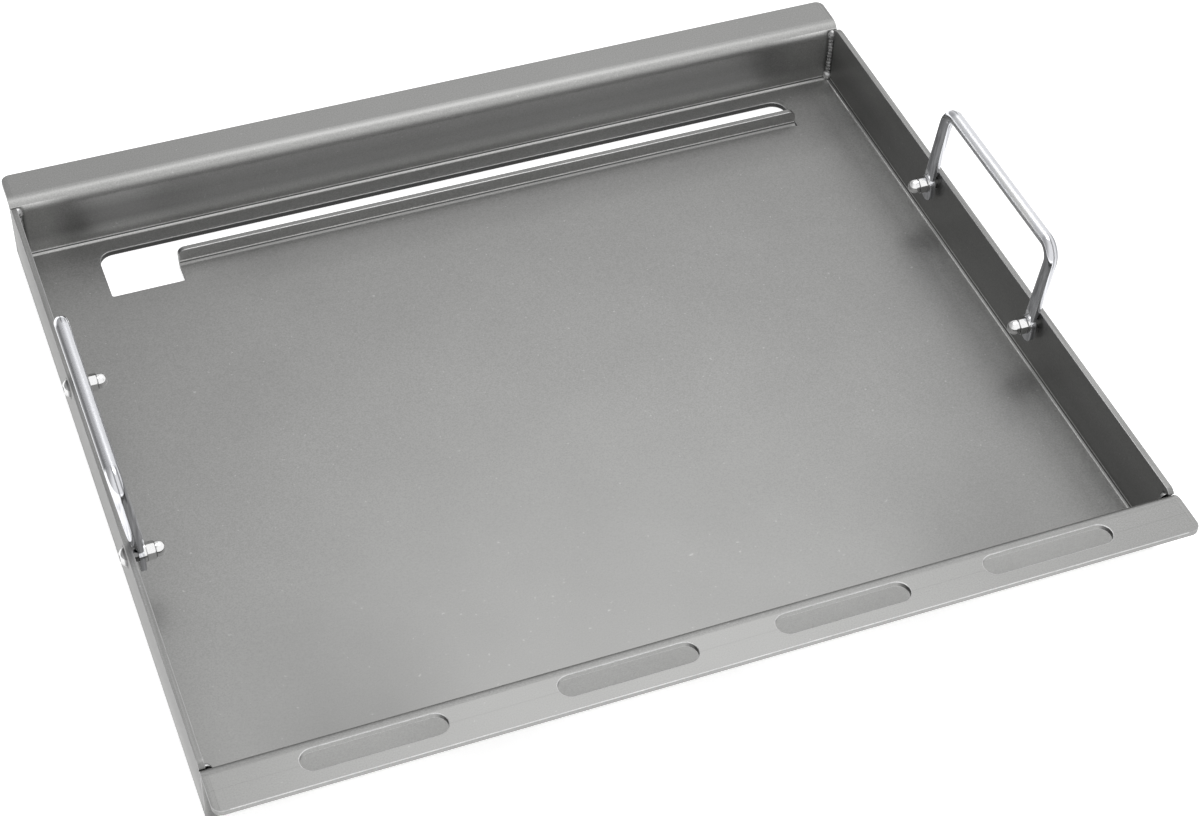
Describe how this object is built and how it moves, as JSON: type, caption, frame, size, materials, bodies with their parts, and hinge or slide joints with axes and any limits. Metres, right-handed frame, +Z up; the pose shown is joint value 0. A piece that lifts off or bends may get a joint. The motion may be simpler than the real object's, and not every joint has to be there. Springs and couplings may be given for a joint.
{
  "type": "camp griddle plate",
  "caption": "Rectangular folded steel griddle tray with low walls, a slotted front flange, a rear flange, a lipped grease slot with a drain opening, and bolted rod handles.",
  "frame": {"origin": "middle of the pan's underside, at the middle of the overall width and of the overall depth over both flanges", "axes": "+X to the right along the width, +Y from the slotted front flange to the rear flange, +Z up"},
  "size_m": [0.6066, 0.545, 0.106],
  "materials": {
    "sheet": "matte, fine grained grey sheet steel",
    "weld": "rippled weld metal under the same matte grey",
    "rod": "polished stainless rod",
    "fastener": "polished stainless fasteners"
  },
  "bodies": {
    "root": {"griddle_pan": "sheet", "front_left_weld": "weld", "front_right_weld": "weld", "rear_left_weld": "weld", "rear_right_weld": "weld", "left_handle": "rod", "right_handle": "rod", "front_left_spacer": "fastener", "front_right_spacer": "fastener", "rear_left_spacer": "fastener", "rear_right_spacer": "fastener", "front_left_screw": "fastener", "front_right_screw": "fastener", "rear_left_screw": "fastener", "rear_right_screw": "fastener", "front_left_washer": "fastener", "front_right_washer": "fastener", "rear_left_washer": "fastener", "rear_right_washer": "fastener", "front_left_nut": "fastener", "front_right_nut": "fastener", "rear_left_nut": "fastener", "rear_right_nut": "fastener"}
  },
  "joints": []
}
